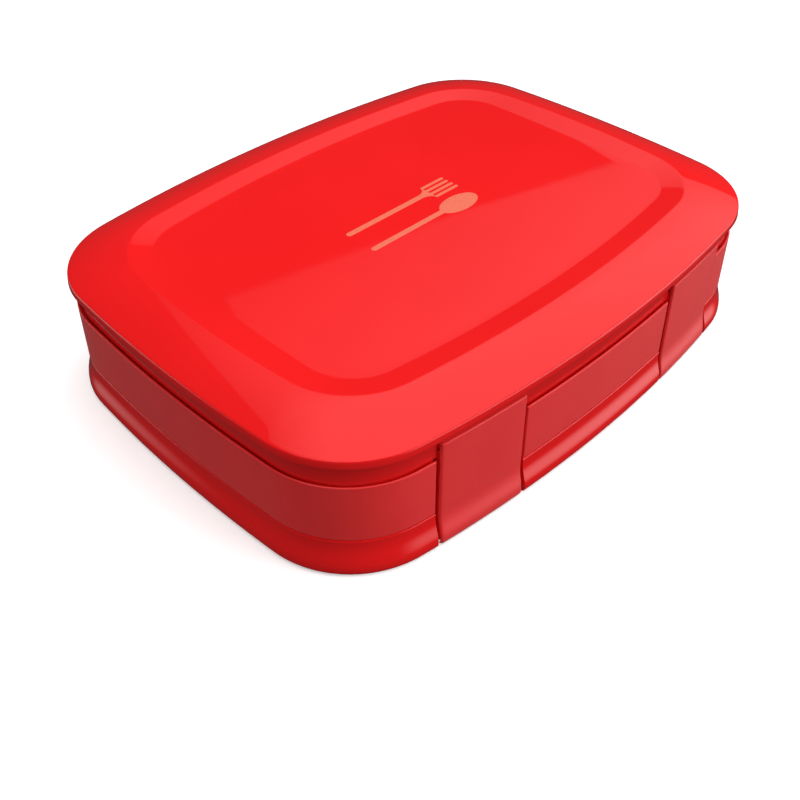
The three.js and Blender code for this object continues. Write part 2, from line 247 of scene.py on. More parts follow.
def outline(plan, inset=0.0, steps=FINE):
    """Points and normals of a bowed rectangle with tangent corners, anticlockwise from +X."""
    half_length, half_width, long_radius, short_radius, corner = plan
    long_centre = np.array([0.0, half_width - long_radius])
    short_centre = np.array([half_length - short_radius, 0.0])
    from_long = long_radius - corner
    from_short = short_radius - corner
    gap = np.linalg.norm(short_centre - long_centre)
    along = (gap**2 + from_long**2 - from_short**2) / (2 * gap)
    across = math.sqrt(from_long**2 - along**2)
    towards = (short_centre - long_centre) / gap
    corner_centre = long_centre + towards * along + np.array([towards[1], -towards[0]]) * across
    short_end = heading(corner_centre - short_centre)
    long_start = heading(corner_centre - long_centre)
    arcs = [
        arc(short_centre, short_radius - inset, 0.0, short_end, steps[0]),
        arc(corner_centre, corner - inset, short_end, long_start, steps[1]),
        arc(long_centre, long_radius - inset, long_start, math.pi / 2, steps[2]),
        (np.array([[0.0, half_width - inset]]), np.array([[0.0, 1.0]])),
    ]
    both = []
    for part in (0, 1):
        quarter = np.concatenate([values[part] for values in arcs])
        half = np.concatenate([quarter, (quarter * [-1, 1])[::-1][1:]])
        both.append(np.concatenate([half, (half * [1, -1])[::-1][1:-1]]))
    return both


def at_height(points, z):
    return np.column_stack([points, np.full(len(points), z)])


def rim_ring(inset, z):
    """Ring parallel to the rim outline."""
    return at_height(outline(RIM, inset)[0], z)


def between(first, second, fraction, z):
    """Ring part of the way from one plan outline to another."""
    return at_height(first + (second - first) * fraction, z)


# ------------------------------------------------------------------ places along the wall
WALL_POINTS, WALL_NORMALS = outline(RIM, 0.0, (200, 400, 300))
FRONT = int(np.argmin(WALL_POINTS[:, 1]))
WALL_POINTS = np.roll(WALL_POINTS, -FRONT, axis=0)
WALL_NORMALS = np.roll(WALL_NORMALS, -FRONT, axis=0)
WALL_STEPS = np.linalg.norm(np.roll(WALL_POINTS, -1, axis=0) - WALL_POINTS, axis=1)
WALL_LENGTH = WALL_STEPS.sum()
WALL_RUN = np.concatenate([[0.0], np.cumsum(WALL_STEPS)[:-1]])


def wall(run, inset, z):
    """Points at a distance along the rim from its front middle, moved inwards by inset."""
    run, inset, z = np.broadcast_arrays(run, inset, z)

    def read(values):
        return np.interp(run, WALL_RUN, values, period=WALL_LENGTH)

    x = read(WALL_POINTS[:, 0]) - inset * read(WALL_NORMALS[:, 0])
    y = read(WALL_POINTS[:, 1]) - inset * read(WALL_NORMALS[:, 1])
    return np.stack([x, y, z], -1)


def front_run(x):
    return RIM[2] * math.asin(x / RIM[2])


def rear_run(x):
    return WALL_LENGTH / 2 - front_run(x)


def crowded(low, high, edge, step):
    """Stations from low to high, close together in the rounded edge at both ends."""
    turn = edge * (1 - np.cos(np.linspace(0, math.pi / 2, 6)))
    count = max(2, math.ceil((high - low - 2 * edge) / step) + 1)
    middle = np.linspace(low + edge, high - edge, count)
    return np.concatenate([low + turn[:-1], middle, high - turn[-2::-1]])


def rounding(places, limits, edge):
    """How far a rounded edge falls back at places between two limits."""
    beyond = np.clip(edge - np.minimum(places - limits[0], limits[1] - places), 0, edge)
    return edge - np.sqrt(edge**2 - beyond**2)


def section(face, depth, heights, edge, step):
    """Front and back of an upright plate as (inset, z) rows, its front edges rounded."""
    z = crowded(*heights, edge, step)
    front = np.column_stack([face(z) + rounding(z, heights, edge), z])
    return front, np.column_stack([face(z) + depth, z])


def wall_plate(name, runs, front, back, edge, step):
    """Plate that follows the wall between two distances, with its side edges rounded."""
    run = crowded(*runs, edge, step)
    inwards = back - front
    inwards = inwards / np.linalg.norm(inwards, axis=1, keepdims=True)
    face = front + rounding(run, runs, edge)[:, None, None] * inwards
    return shell_of_grids(name, wall(run[:, None], face[..., 0], face[..., 1]),
                          wall(run[:, None], back[:, 0], back[:, 1]))


def pocket(runs, depth, heights):
    """Cutting tool that follows the wall, from outside it down to a depth."""
    front, back = (np.column_stack([[inset, inset], heights]) for inset in (-4.0, depth))
    return wall_plate("tool", runs, front, back, 0.01, 3.0)


def station(x, side, turned):
    """Origin, direction along the wall and outward direction at a place on the rim."""
    lean = math.asin(x / RIM[2])
    reach = RIM[1] - RIM[2] * (1 - math.cos(lean))
    turn = lean if turned else 0.0
    outward = np.array([math.sin(turn), side * math.cos(turn), 0.0])
    along = np.cross(outward, [0.0, 0.0, 1.0])
    return np.array([x, side * reach, 0.0]), along, outward


def place(site, along, out, z):
    """Points from distances along, out from and above a station."""
    origin, direction, outward = site
    along, out, z = np.broadcast_arrays(along, out, z)
    return (origin + along[..., None] * direction + out[..., None] * outward
            + z[..., None] * np.array([0.0, 0.0, 1.0]))


def bar(name, site, out, z, half, radius, chamfer, sides=40):
    """Round bar along the wall, with chamfered ends."""
    angles = np.linspace(0, 2 * math.pi, sides, endpoint=False)
    rings = []
    for along, size in ((-half, radius - chamfer), (-half + chamfer, radius),
                        (half - chamfer, radius), (half, radius - chamfer)):
        rings.append(place(site, np.full(sides, along), out + size * np.cos(angles),
                           z + size * np.sin(angles)))
    return loft(name, rings)


def block(name, site, half, outs, heights):
    corners = [(outs[0], heights[0]), (outs[1], heights[0]), (outs[1], heights[1]), (outs[0], heights[1])]
    out, z = np.array(corners).T
    return loft(name, [place(site, np.full(4, along), out, z) for along in (-half, half)])


LATCH_Z = JOINTS["latch_left_hinge"]["pos_m"][2] / MM
HINGE_Z = JOINTS["lid_hinge"]["pos_m"][2] / MM
HINGE_OUT = JOINTS["lid_hinge"]["pos_m"][1] / MM - station(HINGE_X, 1, False)[0][1]


# ------------------------------------------------------------------ foot, tub and bands
def skirt(top, z):
    """Inset of the flared foot at a height, starting from the inset above it."""
    t = np.clip((SKIRT_TOP - z) / (SKIRT_TOP - SKIRT_LOW), 0, 1)
    return top + (SKIRT_INSET - top) * np.sin(math.pi / 2 * t**1.3) ** 2


def foot(top, z):
    """Inset of the flared foot with the rounded edge it stands on."""
    low = np.clip(FOOT_ROUND - z, 0, FOOT_ROUND)
    return skirt(top, z) + FOOT_ROUND - np.sqrt(FOOT_ROUND**2 - low**2)


def mirrored(function):
    """Call a builder for the left and the right side."""
    return [function(sign, side) for sign, side in ((-1, "left"), (1, "right"))]


def latch_runs(sign, half):
    middle = front_run(sign * LATCH_X)
    return middle - half, middle + half


def latch_site(sign):
    return station(sign * LATCH_X, -1, True)


def hinge_site(sign):
    return station(sign * HINGE_X, 1, False)


def hinge_runs(sign, half):
    ends = (rear_run(sign * (HINGE_X + half)), rear_run(sign * (HINGE_X - half)))
    return min(ends), max(ends)


def slots(depth, low, high):
    """Tools for the two latch slots and the two hinge slots."""
    latches = [pocket(latch_runs(sign, LATCH_HALF + LATCH_SLOT), depth, (low, high)) for sign in (-1, 1)]
    hinges = [pocket(hinge_runs(sign, HINGE_HALF + HINGE_SLOT), depth, (low, high)) for sign in (-1, 1)]
    return latches + hinges


def build_tub(material):
    behind = BAND_INSET + BAND_DEPTH + BAND_GAP
    inside = behind + TUB_WALL
    angles = np.linspace(math.pi / 2, 0, 9)
    profile = [(SKIRT_INSET + FOOT_ROUND * (1 - math.cos(a)), FOOT_ROUND * (1 - math.sin(a)))
               for a in angles]
    heights = np.linspace(3.0, SKIRT_TOP - 0.4, 22)
    profile += [(float(skirt(BAND_INSET, z)), z) for z in heights]
    profile += [(BAND_INSET + 0.12, SKIRT_TOP - 0.12), (BAND_INSET + 0.4, SKIRT_TOP)]
    profile += [(behind, SKIRT_TOP), (behind, TUB_TOP - 0.25), (behind + 0.25, TUB_TOP)]
    profile += [(behind + 1.15, TUB_TOP), (behind + 1.4, TUB_TOP - 0.25), (behind + 1.4, TUB_TOP - 1.4)]
    profile += [(inside, TUB_TOP - 1.4), (inside, TUB_FLOOR + TUB_FILLET)]
    profile += [(inside + TUB_FILLET * (1 - math.cos(a)), TUB_FLOOR + TUB_FILLET * (1 - math.sin(a)))
                for a in np.linspace(0, math.pi / 2, 7)]
    tub = loft("tub", [rim_ring(inset, z) for inset, z in profile])
    cut(tub, slots(SLOT_DEPTH, -3.0, RIM_Z))
    ledges = [bar("ledge", latch_site(sign), *LEDGE, CATCH_HALF, CATCH_RADIUS, 0.3) for sign in (-1, 1)]
    weld(tub, ledges)
    return finish_piece(tub, "base", material, ["base_shell"])


def build_bands(material):
    """Four lengths of grip band, thinned to a lip along the top with a shadow groove behind it."""
    half = WALL_LENGTH / 2
    latch_inner = front_run(LATCH_X) - LATCH_HALF - LATCH_SLOT
    latch_outer = front_run(LATCH_X) + LATCH_HALF + LATCH_SLOT
    hinge_inner = rear_run(HINGE_X - HINGE_HALF - HINGE_SLOT)
    hinge_outer = rear_run(HINGE_X + HINGE_HALF + HINGE_SLOT)
    lengths = {
        "front": (-latch_inner, latch_inner),
        "right": (latch_outer, hinge_outer),
        "rear": (hinge_inner, 2 * half - hinge_inner),
        "left": (2 * half - hinge_outer, 2 * half - latch_outer),
    }
    heights = (BAND_LOW[2], BAND_HIGH[2] + 0.1)
    for side, runs in lengths.items():
        front, back = section(lambda z: z * 0 + BAND_INSET, BAND_DEPTH, heights, 0.3, 0.5)
        back[back[:, 1] > heights[1] - 1.0, 0] = BAND_INSET + BAND_LIP
        band = wall_plate(f"band_{side}", runs, front, back, 0.45, 1.5)
        finish_piece(band, "base", material, [f"grip_band_{side}"])


# ------------------------------------------------------------------ lid
def border_z(fraction):
    """Height of the lid's border from its edge (0) to the crest (1)."""
    fall = 1 - fraction
    return LIP_TOP + (CREST_Z - LIP_TOP) * (1 - 0.45 * fall - 0.55 * fall**2)


def panel_z(radius_share):
    return PANEL_Z + PANEL_CROWN * (1 - radius_share**2)


def lid_top():
    """Rings of the lid's upper surface, from its edge to its middle."""
    edge = outline(RIM, LIP_ROLL)[0]
    crest = outline(CREST)[0]
    panel = outline(PANEL)[0]
    rings = [between(edge, crest, t, border_z(t)) for t in (*np.linspace(0.04, 0.96, 24), CREASE)]
    rings.append(between(edge, crest, 1.0, CREST_Z - 0.018))
    drop = CREST_Z - PANEL_Z
    for share in (0.03, *np.linspace(0.1, 0.9, 6), 0.97):
        rings.append(between(crest, panel, share, CREST_Z - drop * share))
    rings.append(between(crest, panel, 1.0, PANEL_Z + 0.016))
    for share in (0.996, 0.95, 0.88, 0.8, 0.65, 0.5, 0.35, 0.2, 0.08):
        rings.append(at_height(panel * share, float(panel_z(share))))
    return rings


def lid_under():
    """Rings of the lid's hidden lower surface, from its middle to the neck."""
    edge = outline(RIM, LIP_ROLL)[0]
    crest = outline(CREST)[0]
    panel = outline(PANEL)[0]
    rings = [at_height(panel * share, PANEL_Z - LID_SKIN) for share in (0.1, 0.5, 0.96)]
    rings.append(between(edge, crest, 1.0, CREST_Z - LID_SKIN))
    rings += [between(edge, crest, t, border_z(t) - LID_SKIN) for t in (0.85, 0.7, 0.55)]
    return rings


def lid_edge():
    """Rings round the lid's edge: inside of the neck, neck, lip and its roll."""
    bottom = LID_LOW[2]
    inside = NECK_INSET + LID_WALL
    profile = [(inside, RIM_Z - 1.4), (inside, bottom + 0.2), (inside - 0.2, bottom)]
    profile += [(NECK_INSET + 0.1, bottom), (NECK_INSET, bottom + 0.1), (NECK_INSET, LIP_LOW - 0.5)]
    profile += [(NECK_INSET - 0.15, LIP_LOW - 0.15), (NECK_INSET - 0.5, LIP_LOW), (0.35, LIP_LOW)]
    profile += [(0.1, LIP_LOW + 0.12), (0.0, LIP_LOW + 0.4), (LIP_LEAN, LIP_SHOULDER)]
    for a in np.radians([15, 30, 42, 53, 63, 72, 80]):
        inset = LIP_LEAN + (LIP_ROLL - LIP_LEAN) * (1 - math.cos(a))
        profile.append((inset, LIP_SHOULDER + (LIP_TOP - LIP_SHOULDER) * math.sin(a)))
    return [rim_ring(inset, z) for inset, z in profile]


def build_lid(material):
    lid = loft("lid", lid_under() + lid_edge() + lid_top())
    low = LID_LOW[2] - 3
    tools = [pocket(latch_runs(sign, LATCH_HALF + 0.1), 6.0, (low, LIP_LOW - 0.5)) for sign in (-1, 1)]
    tools += [pocket(hinge_runs(sign, HINGE_HALF + HINGE_SLOT), 4.8, (low, LIP_LOW + 1)) for sign in (-1, 1)]
    cut(lid, tools)
    lugs = []
    for sign in (-1, 1):
        lugs += lug(latch_site(sign), LATCH_LUG, LATCH_OUT, LATCH_Z, LATCH_KNUCKLE)
        lugs += lug(hinge_site(sign), HINGE_LUG, HINGE_OUT, HINGE_Z, HINGE_KNUCKLE)
    weld(lid, lugs)
    return finish_piece(lid, "lid", material, ["lid_shell"])


def lug(site, half, out, z, radius):
    """Two solids of an ear on the lid's neck: the web and the eye around the pin."""
    web = block("web", site, half - 0.05, (-6.4, out), (z - radius, z + radius * 0.3))
    return [web, bar("eye", site, out, z, half, radius, 0.2)]


# ------------------------------------------------------------------ tray, seal and inner panel
def edge_normals(points):
    steps = np.roll(points, -1, axis=0) - points
    normals = np.column_stack([steps[:, 1], -steps[:, 0]])
    return normals / np.linalg.norm(normals, axis=1, keepdims=True)


def clip(points, normal, limit):
    """Part of a convex outline on the near side of a line."""
    kept = []
    heights = points @ np.array(normal) - limit
    for i, here in enumerate(points):
        j = (i + 1) % len(points)
        if heights[i] <= 0:
            kept.append(here)
        if heights[i] * heights[j] < 0:
            share = heights[i] / (heights[i] - heights[j])
            kept.append(here + (points[j] - here) * share)
    return np.array(kept)


def round_corners(points, radius):
    """Convex outline shrunk by the radius and grown back with round corners."""
    core = points
    for point, normal in zip(points, edge_normals(points)):
        core = clip(core, normal, normal @ point - radius)
    lengths = np.linalg.norm(np.roll(core, -1, axis=0) - core, axis=1)
    core = core[lengths > 0.02]
    after = edge_normals(core)
    rounded = []
    for point, start, end in zip(core, np.roll(after, 1, axis=0), after):
        turn = (heading(end) - heading(start)) % (2 * math.pi)
        steps = max(1, math.ceil(turn / 0.09))
        rounded.append(arc(point, radius, heading(start), heading(start) + turn, steps)[0])
    return np.concatenate(rounded)


def shrink(points, distance):
    """Outline moved inwards along its corner bisectors."""
    after = edge_normals(points)
    bisector = after + np.roll(after, 1, axis=0)
    bisector /= np.linalg.norm(bisector, axis=1, keepdims=True)
    return points - bisector * distance


def cells():
    """Compartment outlines at the top of the tray."""
    half = DIVIDER / 2
    whole = outline(RIM, CELL_INSET)[0]
    front_row = clip(whole, (0, 1), ROW_SPLIT - half)
    rear_row = clip(whole, (0, -1), -ROW_SPLIT - half)
    corners = [
        clip(front_row, (1, 0), FRONT_SPLIT - half),
        clip(front_row, (-1, 0), -FRONT_SPLIT - half),
        clip(rear_row, (1, 0), -DIP_HALF - half),
        clip(clip(rear_row, (1, 0), DIP_HALF - half), (-1, 0), DIP_HALF - half),
        clip(rear_row, (-1, 0), -DIP_HALF - half),
    ]
    return [round_corners(points, CELL_ROUND) for points in corners]


def hollow(top, floor):
    """Tool for one compartment: rounded floor, drafted wall and rounded mouth."""
    fillet = 4.0
    draft = 1.6
    lip = 1.0
    rings = [at_height(shrink(top, draft + fillet + 2.5), floor)]
    for a in np.linspace(0, math.pi / 2, 8):
        inset = draft + fillet * (1 - math.sin(a))
        rings.append(at_height(shrink(top, inset), floor + fillet * (1 - math.cos(a))))
    for a in np.linspace(0, math.pi / 2, 6):
        inset = 0.3 - lip * (1 - math.cos(a))
        rings.append(at_height(shrink(top, inset), TUB_TOP - lip + lip * math.sin(a)))
    rings.append(at_height(shrink(top, 0.3 - lip), TUB_TOP + 1.0))
    return loft("hollow", rings)


def build_tray(material):
    rest = TUB_TOP - 1.1
    flange = 4.7
    deck_profile = [(flange + 0.2, rest), (flange, rest + 0.2), (flange, TUB_TOP - 0.5)]
    deck_profile += [(flange + 0.1, TUB_TOP - 0.2), (flange + 0.35, TUB_TOP - 0.1), (flange + 1.2, TUB_TOP)]
    tray = loft("tray", [rim_ring(inset, z) for inset, z in deck_profile])
    low = span("food_tray")[0][2]
    cups = []
    for top in cells():
        rings = [at_height(shrink(top, 4.4), low), at_height(shrink(top, 2.6), low + 0.5)]
        rings += [at_height(shrink(top, 1.0), low + 2.4), at_height(shrink(top, 0.3), low + 4.5)]
        rings.append(at_height(shrink(top, -1.5), rest + 0.4))
        cups.append(loft("cup", rings))
    weld(tray, cups)
    cut(tray, [hollow(top, low + CELL_FLOOR) for top in cells()])
    return finish_piece(tray, "base", material, ["food_tray"])


def build_seal(material):
    low, high = (corner[2] for corner in span("lid_seal"))
    edge = NECK_INSET + LID_WALL + 0.5
    bulge = [(0.9, 0.0), (0.35, 0.15), (0.1, 0.5), (0.0, 0.9)]  # rounded underside: inset and rise
    profile = [(edge + inset, low + rise) for inset, rise in bulge] + [(edge, high)]
    seal = loft("seal", [rim_ring(inset, z) for inset, z in profile])
    side = [(-1.4, low - 0.5)] + [(-0.5 - inset, low + rise) for inset, rise in bulge] + [(-0.5, high + 1)]
    windows = [loft("window", [at_height(shrink(top, inset), z) for inset, z in side]) for top in cells()]
    cut(seal, windows)
    return finish_piece(seal, "lid", material, ["lid_seal"])


def build_inner_panel(material):
    low = span("lid_inner_panel")[0][2]
    edge = NECK_INSET + LID_WALL + 0.3
    profile = [(0.3, 0.0), (0.0, 0.3), (0.0, 3.3), (0.3, 3.6)]
    profile += [(1.2, 3.6), (1.5, 3.3), (1.5, 1.9), (1.9, 1.6)]
    panel = loft("inner_panel", [rim_ring(edge + inset, low + z) for inset, z in profile])
    return finish_piece(panel, "lid", material, ["lid_inner_panel"])


# ------------------------------------------------------------------ latches and hinge straps
def build_skin(name, runs, heights, flap, body, material, node):
    """Rubber skin of a latch or strap, whose top may reach back as a flat flap."""
    front, back = section(lambda z: foot(LATCH_FACE, z), SKIN, heights, 0.4, 0.6)
    if flap:
        low = heights[1] - FLAP_THICK
        back[:, 1] = np.minimum(back[:, 1], low)
        reach = np.linspace(back[-1, 0], LATCH_FACE + flap, 7)[1:]
        rise = FLAP_RISE * (reach - back[-1, 0]) / (reach[-1] - back[-1, 0])
        front = np.concatenate([front, np.column_stack([reach - 0.1, heights[1] + rise])])
        back = np.concatenate([back, np.column_stack([reach, reach * 0 + low])])
    skin = wall_plate(name, runs, front, back, 0.7, 1.5)
    return finish_piece(skin, body, material, [node])


def build_core(name, site, runs, top, lug_half, out, z, radius):
    """Plate with knuckles on a pin, open in the middle for the lid's lug."""
    front, back = section(lambda h: skirt(LATCH_FACE, h) + SKIN + SKIN_GAP, CORE_DEPTH - SKIN - SKIN_GAP,
                          (CORE_LOW, top), 0.2, 1.0)
    core = wall_plate(name, runs, front, back, 0.2, 2.0)
    half = (runs[1] - runs[0]) / 2
    weld(core, [bar("barrel", site, out, z, half, radius, 0.2)])
    clear = radius + 0.35
    opening = block("opening", site, lug_half + 0.3, (-9.0, 4.0), (z - clear, z + 6))
    hole = bar("hole", site, out, z, half + 1, HOLE_RADIUS, 0.01)
    return cut(core, [opening, hole])


def build_latch(sign, side, materials):
    body = f"latch_{side}"
    site = latch_site(sign)
    runs = latch_runs(sign, LATCH_HALF)
    build_skin(f"{body}_skin", runs, (LATCH_LOW[2], LATCH_HIGH[2]), LATCH_FLAP, body,
               materials["grip"], f"{body}_grip")
    core = build_core(f"{body}_core_detail", site, runs, LATCH_HIGH[2] - FLAP_THICK, LATCH_LUG,
                      LATCH_OUT, LATCH_Z, LATCH_KNUCKLE)
    weld(core, [bar("bead", site, *BEAD, CATCH_HALF, CATCH_RADIUS, 0.3)])
    finish_piece(core, body, materials["gloss"], [f"{body}_core"])
    pin = bar(f"{body}_pin_detail", site, LATCH_OUT, LATCH_Z, LATCH_HALF - PIN_END, PIN_RADIUS, 0.2)
    finish_piece(pin, "lid", materials["steel"], [f"{body}_pin"])


def build_hinge(sign, side, materials):
    name = f"hinge_{side}"
    site = hinge_site(sign)
    runs = hinge_runs(sign, HINGE_HALF)
    build_skin(f"{name}_skin", runs, (HINGE_LOW[2], HINGE_HIGH[2]), 0, "base",
               materials["grip"], f"{name}_grip")
    strap = build_core(f"{name}_strap_detail", site, runs, HINGE_Z, HINGE_LUG,
                       HINGE_OUT, HINGE_Z, HINGE_KNUCKLE)
    finish_piece(strap, "base", materials["gloss"], [f"{name}_strap"])
    pin = bar(f"{name}_pin_detail", site, HINGE_OUT, HINGE_Z, HINGE_HALF - PIN_END, PIN_RADIUS, 0.2)
    finish_piece(pin, "base", materials["steel"], [f"{name}_pin"])


# ------------------------------------------------------------------ printed pictogram
def spoon_outline(length, bowl, half_handle):
    """Spoon lying along +X with its handle at the start."""
    centre = length - bowl[0]
    x = np.concatenate([half_handle * (1 - np.cos(np.linspace(0, math.pi / 2, 8))),
                        np.linspace(half_handle, centre - bowl[0], 6)[1:],
                        centre - bowl[0] * np.cos(np.linspace(0, math.pi, 40))[1:]])
    handle = np.sqrt(np.clip(half_handle**2 - np.clip(half_handle - x, 0, None) ** 2, 0, None))
    handle = np.where(x > centre, 0, handle)
    head = bowl[1] * np.sqrt(np.clip(1 - ((x - centre) / bowl[0]) ** 2, 0, None))
    y = np.maximum(handle, head)
    return np.concatenate([np.column_stack([x, -y]), np.column_stack([x, y])[::-1][1:-1]])


def fork_outline(length, tine, half_handle, tines=4):
    """Fork lying along +X: tine is (length, width, gap)."""
    tine_length, width, gap = tine
    half_head = (tines * width + (tines - 1) * gap) / 2
    root = length - tine_length
    angles = np.linspace(0, math.pi / 2, 8)
    points = [(half_handle * (1 - math.cos(a)), -half_handle * math.sin(a)) for a in angles]
    points.append((root - 2.2 * half_head, -half_handle))
    shoulder = half_head - half_handle
    points += [(root - half_head * (1 - math.sin(a)), -half_handle - shoulder * (1 - math.cos(a)))
               for a in angles]
    side = points[1:]
    for i in range(tines):
        low = -half_head + i * (width + gap)
        middle = low + width / 2
        tip = length - width / 2
        points += [(tip + width / 2 * math.cos(a), middle + width / 2 * math.sin(a))
                   for a in np.linspace(-math.pi / 2, math.pi / 2, 9)]
        if i < tines - 1:
            pit = low + width + gap / 2
            points += [(root + gap / 2 - gap / 2 * math.cos(a), pit - gap / 2 * math.sin(a))
                       for a in np.linspace(math.pi / 2, -math.pi / 2, 7)]
    points += [(x, -y) for x, y in reversed(side)]
    return np.array(points)


def print_on_lid(name, points, offset, material):
    """Thin film of ink in a flat outline on the lid's sunk panel."""
    flat = points + np.array(offset)
    z = panel_z(0.3)
    count = len(flat)
    faces = [tuple(range(count - 1, -1, -1)), tuple(range(count, 2 * count))]
    faces += [(i, (i + 1) % count, (i + 1) % count + count, i + count) for i in range(count)]
    film = new_object(name, np.concatenate([at_height(flat, z - 0.03), at_height(flat, z + 0.04)]), faces)
    smooth(film, 20)
    film.data.materials.append(material)
    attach(film, "lid")
    return film


# ------------------------------------------------------------------ materials
class Nodes:
    """Small helper that adds and links shader nodes."""

    def __init__(self, name):
        self.material = bpy.data.materials.new(name)
        self.material.use_nodes = True
        self.tree = self.material.node_tree
        self.shader = self.tree.nodes["Principled BSDF"]
        self.place = self.add("ShaderNodeTexCoord").outputs["Object"]

    def add(self, kind, **values):
        node = self.tree.nodes.new(kind)
        for key, value in values.items():
            setattr(node, key, value)
        return node

    def link(self, source, target):
        self.tree.links.new(source, target)

    def set(self, **sockets):
        for key, value in sockets.items():
            self.shader.inputs[key.replace("_", " ")].default_value = value

    def noise(self, scale, detail=2.0, stretch=(1, 1, 1)):
        """Noise with a feature size of about 1/scale metres."""
        mapping = self.add("ShaderNodeMapping")
        mapping.inputs["Scale"].default_value = stretch
        self.link(self.place, mapping.inputs["Vector"])
        noise = self.add("ShaderNodeTexNoise")
        noise.inputs["Scale"].default_value = scale
        noise.inputs["Detail"].default_value = detail
        self.link(mapping.outputs["Vector"], noise.inputs["Vector"])
        return noise.outputs["Fac"]

    def remap(self, value, low, high, start=0.3, end=0.7):
        node = self.add("ShaderNodeMapRange")
        for key, number in (("From Min", start), ("From Max", end), ("To Min", low), ("To Max", high)):
            node.inputs[key].default_value = number
        self.link(value, node.inputs["Value"])
        return node.outputs["Result"]

    def tint(self, value, first, second):
        mix = self.add("ShaderNodeMix", data_type="RGBA")
        mix.inputs["A"].default_value = (*first, 1)
        mix.inputs["B"].default_value = (*second, 1)
        self.link(value, mix.inputs["Factor"])
        self.link(mix.outputs["Result"], self.shader.inputs["Base Color"])

    def bump(self, layers):
        """Stack of bumps: (height, depth in metres)."""
        normal = None
        for height, depth in layers:
            node = self.add("ShaderNodeBump")
            node.inputs["Strength"].default_value = 1.0
            node.inputs["Distance"].default_value = depth
            self.link(height, node.inputs["Height"])
            if normal:
                self.link(normal, node.inputs["Normal"])
            normal = node.outputs["Normal"]
        self.link(normal, self.shader.inputs["Normal"])


def gloss_plastic():
    """Polished injection-moulded red plastic with a faint flow ripple."""
    m = Nodes("gloss_red_plastic")
    m.set(IOR=1.45, Roughness=0.03)
    m.tint(m.remap(m.noise(18), 0, 1), (0.84, 0.0105, 0.0115), (0.88, 0.0125, 0.0135))
    m.link(m.remap(m.noise(900, 3), 0.02, 0.045), m.shader.inputs["Roughness"])
    m.bump([(m.noise(90, 1), 0.000002), (m.noise(1400, 2), 0.0000002)])
    return m.material


def rubber():
    """Matte overmoulded rubber with a fine eroded grain."""
    m = Nodes("matte_red_rubber")
    m.set(IOR=1.5, Roughness=0.36, Specular_IOR_Level=0.9, Sheen_Weight=0.08, Sheen_Roughness=0.5)
    m.tint(m.remap(m.noise(60, 4), 0, 1), (0.90, 0.022, 0.024), (0.95, 0.026, 0.028))
    m.link(m.remap(m.noise(2500, 3), 0.28, 0.37), m.shader.inputs["Roughness"])
    m.bump([(m.noise(5200, 3), 0.00002), (m.noise(700, 2), 0.00001)])
    return m.material


def tray_plastic():
    """Satin light grey polypropylene with faint swirls and a fine spark grain."""
    m = Nodes("satin_grey_plastic")
    m.set(IOR=1.49, Roughness=0.38)
    m.tint(m.remap(m.noise(25, 3), 0, 1), (0.72, 0.74, 0.745), (0.78, 0.795, 0.80))
    m.link(m.remap(m.noise(1600, 3), 0.32, 0.46), m.shader.inputs["Roughness"])
    m.bump([(m.noise(3200, 2), 0.000012), (m.noise(60, 1), 0.00004)])
    return m.material


def liner_plastic():
    """Smooth white lid liner."""
    m = Nodes("smooth_white_plastic")
    m.set(IOR=1.49, Roughness=0.25)
    m.tint(m.remap(m.noise(30, 3), 0, 1), (0.66, 0.67, 0.675), (0.71, 0.72, 0.725))
    m.link(m.remap(m.noise(1100, 3), 0.2, 0.32), m.shader.inputs["Roughness"])
    m.bump([(m.noise(90, 1), 0.00002)])
    return m.material


def silicone():
    """Soft milky silicone with a dull skin."""
    m = Nodes("milky_silicone")
    m.set(IOR=1.41, Roughness=0.6, Sheen_Weight=0.1)
    m.tint(m.remap(m.noise(80, 3), 0, 1), (0.82, 0.82, 0.81), (0.87, 0.87, 0.86))
    m.link(m.remap(m.noise(1800, 2), 0.52, 0.68), m.shader.inputs["Roughness"])
    m.bump([(m.noise(2600, 2), 0.00001)])
    return m.material


def steel():
    """Drawn stainless wire with lengthwise lines."""
    m = Nodes("drawn_steel")
    m.set(Metallic=1.0, Roughness=0.28, Anisotropic=0.4)
    m.tint(m.remap(m.noise(300, 3), 0, 1), (0.55, 0.56, 0.57), (0.66, 0.67, 0.68))
    m.link(m.remap(m.noise(900, 3, (0.05, 1, 1)), 0.2, 0.36), m.shader.inputs["Roughness"])
    m.bump([(m.noise(1500, 2, (0.03, 1, 1)), 0.000008)])
    return m.material


def ink():
    """Pale salmon pad-printed ink."""
    m = Nodes("salmon_ink")
    m.set(IOR=1.48, Roughness=0.3)
    m.tint(m.remap(m.noise(700, 3), 0, 1), (0.82, 0.155, 0.088), (0.86, 0.18, 0.105))
    m.link(m.remap(m.noise(1500, 3), 0.24, 0.38), m.shader.inputs["Roughness"])
    m.bump([(m.noise(2500, 2), 0.000006)])
    return m.material


def floor_paint():
    """Plain pale floor."""
    m = Nodes("pale_floor")
    m.set(Roughness=0.9, Specular_IOR_Level=0.0, Emission_Color=(1, 1, 1, 1), Emission_Strength=0.35)
    m.tint(m.remap(m.noise(3, 2), 0, 1), (0.93, 0.93, 0.93), (0.95, 0.95, 0.95))
    return m.material


# ------------------------------------------------------------------ studio
def build_floor():
    half = 4000
    corners = [(-half, -half, 0), (half, -half, 0), (half, half, 0), (-half, half, 0)]
    floor = new_object("floor", corners, [(0, 1, 2, 3)])
    floor.data.materials.append(floor_paint())
    floor.visible_glossy = False
    floor.visible_diffuse = False


